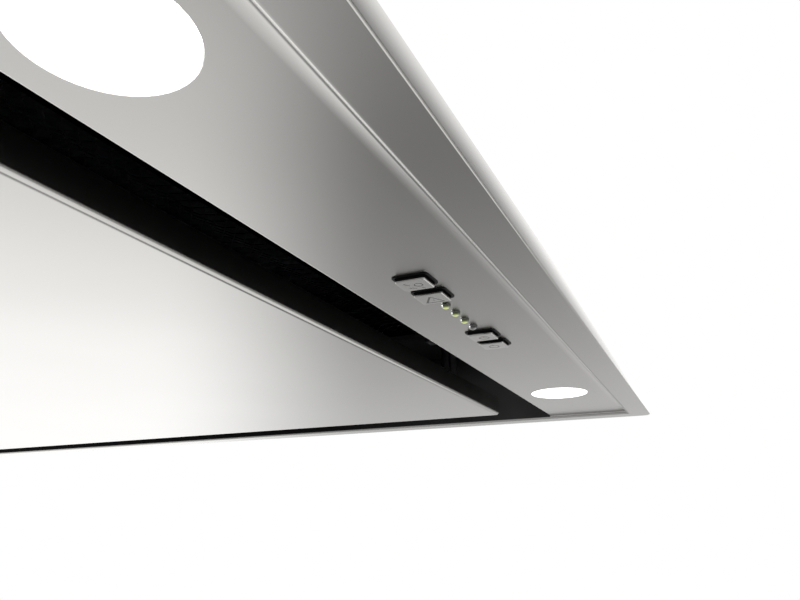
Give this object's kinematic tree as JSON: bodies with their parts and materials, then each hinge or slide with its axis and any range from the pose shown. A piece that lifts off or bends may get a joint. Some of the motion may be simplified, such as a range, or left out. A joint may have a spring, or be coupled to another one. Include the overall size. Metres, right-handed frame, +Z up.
{
  "type": "ceiling range hood",
  "caption": "Flush ceiling range hood with a suction slot round a hinged stainless panel, a push-button strip, corner lamps, grease filters and a ducted blower in its housing.",
  "frame": {"origin": "centre of the ceiling opening, in the plane of the ceiling's lower face", "axes": "+Z up into the ceiling void; X along the long side with the control strip at +X; Y along the short side with the outlet at +Y"},
  "size_m": [1.1, 0.7, 0.3165],
  "materials": {
    "stainless": "brushed stainless steel",
    "galvanised": "galvanised sheet steel",
    "deck_black": "satin black powder coat",
    "cap_steel": "fine brushed steel",
    "black_plastic": "fine matt texture",
    "grey_plastic": "fine matt texture",
    "lamp_opal": "opal, lit",
    "indicator_lit": "clear dome, lit",
    "indicator_off": "clear dome, unlit",
    "cast_aluminium": "cast, matt",
    "filter_aluminium": "mill finish",
    "zinc_steel": "zinc plated",
    "magnet_case": "satin black",
    "motor_grey": "satin grey",
    "board_green": "solder mask",
    "rubber": "matt",
    "white_plastic": "smooth"
  },
  "bodies": {
    "housing": {"blower_box": "galvanised", "button_guide": "black_plastic", "cable_gland": "grey_plastic", "catch_brackets": "zinc_steel", "catch_magnets": "magnet_case", "control_board": "board_green", "control_cover": "black_plastic", "control_strip": "stainless", "damper_pin": "zinc_steel", "filter_deck": "deck_black", "filter_frame_left": "filter_aluminium", "filter_frame_right": "filter_aluminium", "filter_mesh_left": "filter_aluminium", "filter_mesh_right": "filter_aluminium", "hanger_brackets": "galvanised", "hinge_bracket_left": "zinc_steel", "hinge_bracket_right": "zinc_steel", "hinge_pins": "zinc_steel", "indicator_lens_1": "indicator_lit", "indicator_lens_2": "indicator_lit", "indicator_lens_3": "indicator_lit", "indicator_lens_4": "indicator_off", "inlet_ring": "black_plastic", "lamp_bodies": "cast_aluminium", "lamp_lens_1": "lamp_opal", "lamp_lens_2": "lamp_opal", "lamp_lens_3": "lamp_opal", "lamp_lens_4": "lamp_opal", "motor": "motor_grey", "motor_grommets": "rubber", "motor_screws": "zinc_steel", "outlet_collar": "black_plastic", "plain_strip": "stainless", "plenum_box": "galvanised", "run_capacitor": "white_plastic", "scroll_casing": "black_plastic", "scroll_cover": "black_plastic", "terminal_box": "grey_plastic", "terminal_lid": "grey_plastic", "trim_frame": "stainless"},
    "panel": {"suction_panel": "stainless", "panel_stiffener_left": "galvanised", "panel_stiffener_right": "galvanised", "hinge_arm_left": "zinc_steel", "hinge_arm_right": "zinc_steel"},
    "fan": {"impeller": "black_plastic", "motor_shaft": "zinc_steel"},
    "flap_left": {"damper_flap_left": "black_plastic"},
    "flap_right": {"damper_flap_right": "black_plastic"},
    "latch_left": {"filter_latch_left": "black_plastic"},
    "latch_right": {"filter_latch_right": "black_plastic"},
    "button_1": {"button_cap_1": "cap_steel", "button_stem_1": "black_plastic"},
    "button_2": {"button_cap_2": "cap_steel", "button_stem_2": "black_plastic"},
    "button_3": {"button_cap_3": "cap_steel", "button_stem_3": "black_plastic"},
    "button_4": {"button_cap_4": "cap_steel", "button_stem_4": "black_plastic"}
  },
  "joints": [
    {"name": "panel_hinge", "type": "hinge", "parent": "housing", "child": "panel", "pos_m": [0, 0.263, 0.02], "axis": [1, 0, 0], "range_deg": [0, 90]},
    {"name": "fan_spin", "type": "hinge", "parent": "housing", "child": "fan", "pos_m": [-0.024, -0.012, 0.25], "axis": [0, 0, 1], "continuous": true},
    {"name": "flap_left_hinge", "type": "hinge", "parent": "housing", "child": "flap_left", "pos_m": [0.098, 0.218, 0.178], "axis": [0, 0, -1], "range_deg": [0, 75], "stiffness_Nm_per_rad": 0.02, "springref_deg": -17.19},
    {"name": "flap_right_hinge", "type": "hinge", "parent": "housing", "child": "flap_right", "pos_m": [0.098, 0.218, 0.178], "axis": [0, 0, 1], "range_deg": [0, 75], "stiffness_Nm_per_rad": 0.02, "springref_deg": -17.19},
    {"name": "button_1_press", "type": "slide", "parent": "housing", "child": "button_1", "axis": [0, 0, 1], "range_m": [0, 0.0015], "stiffness_N_per_m": 300, "springref_m": -0.002},
    {"name": "button_2_press", "type": "slide", "parent": "housing", "child": "button_2", "axis": [0, 0, 1], "range_m": [0, 0.0015], "stiffness_N_per_m": 300, "springref_m": -0.002},
    {"name": "button_3_press", "type": "slide", "parent": "housing", "child": "button_3", "axis": [0, 0, 1], "range_m": [0, 0.0015], "stiffness_N_per_m": 300, "springref_m": -0.002},
    {"name": "button_4_press", "type": "slide", "parent": "housing", "child": "button_4", "axis": [0, 0, 1], "range_m": [0, 0.0015], "stiffness_N_per_m": 300, "springref_m": -0.002},
    {"name": "latch_left_slide", "type": "slide", "parent": "housing", "child": "latch_left", "axis": [0, 1, 0], "range_m": [0, 0.008], "stiffness_N_per_m": 400, "springref_m": -0.004},
    {"name": "latch_right_slide", "type": "slide", "parent": "housing", "child": "latch_right", "axis": [0, 1, 0], "range_m": [0, 0.008], "stiffness_N_per_m": 400, "springref_m": -0.004}
  ]
}
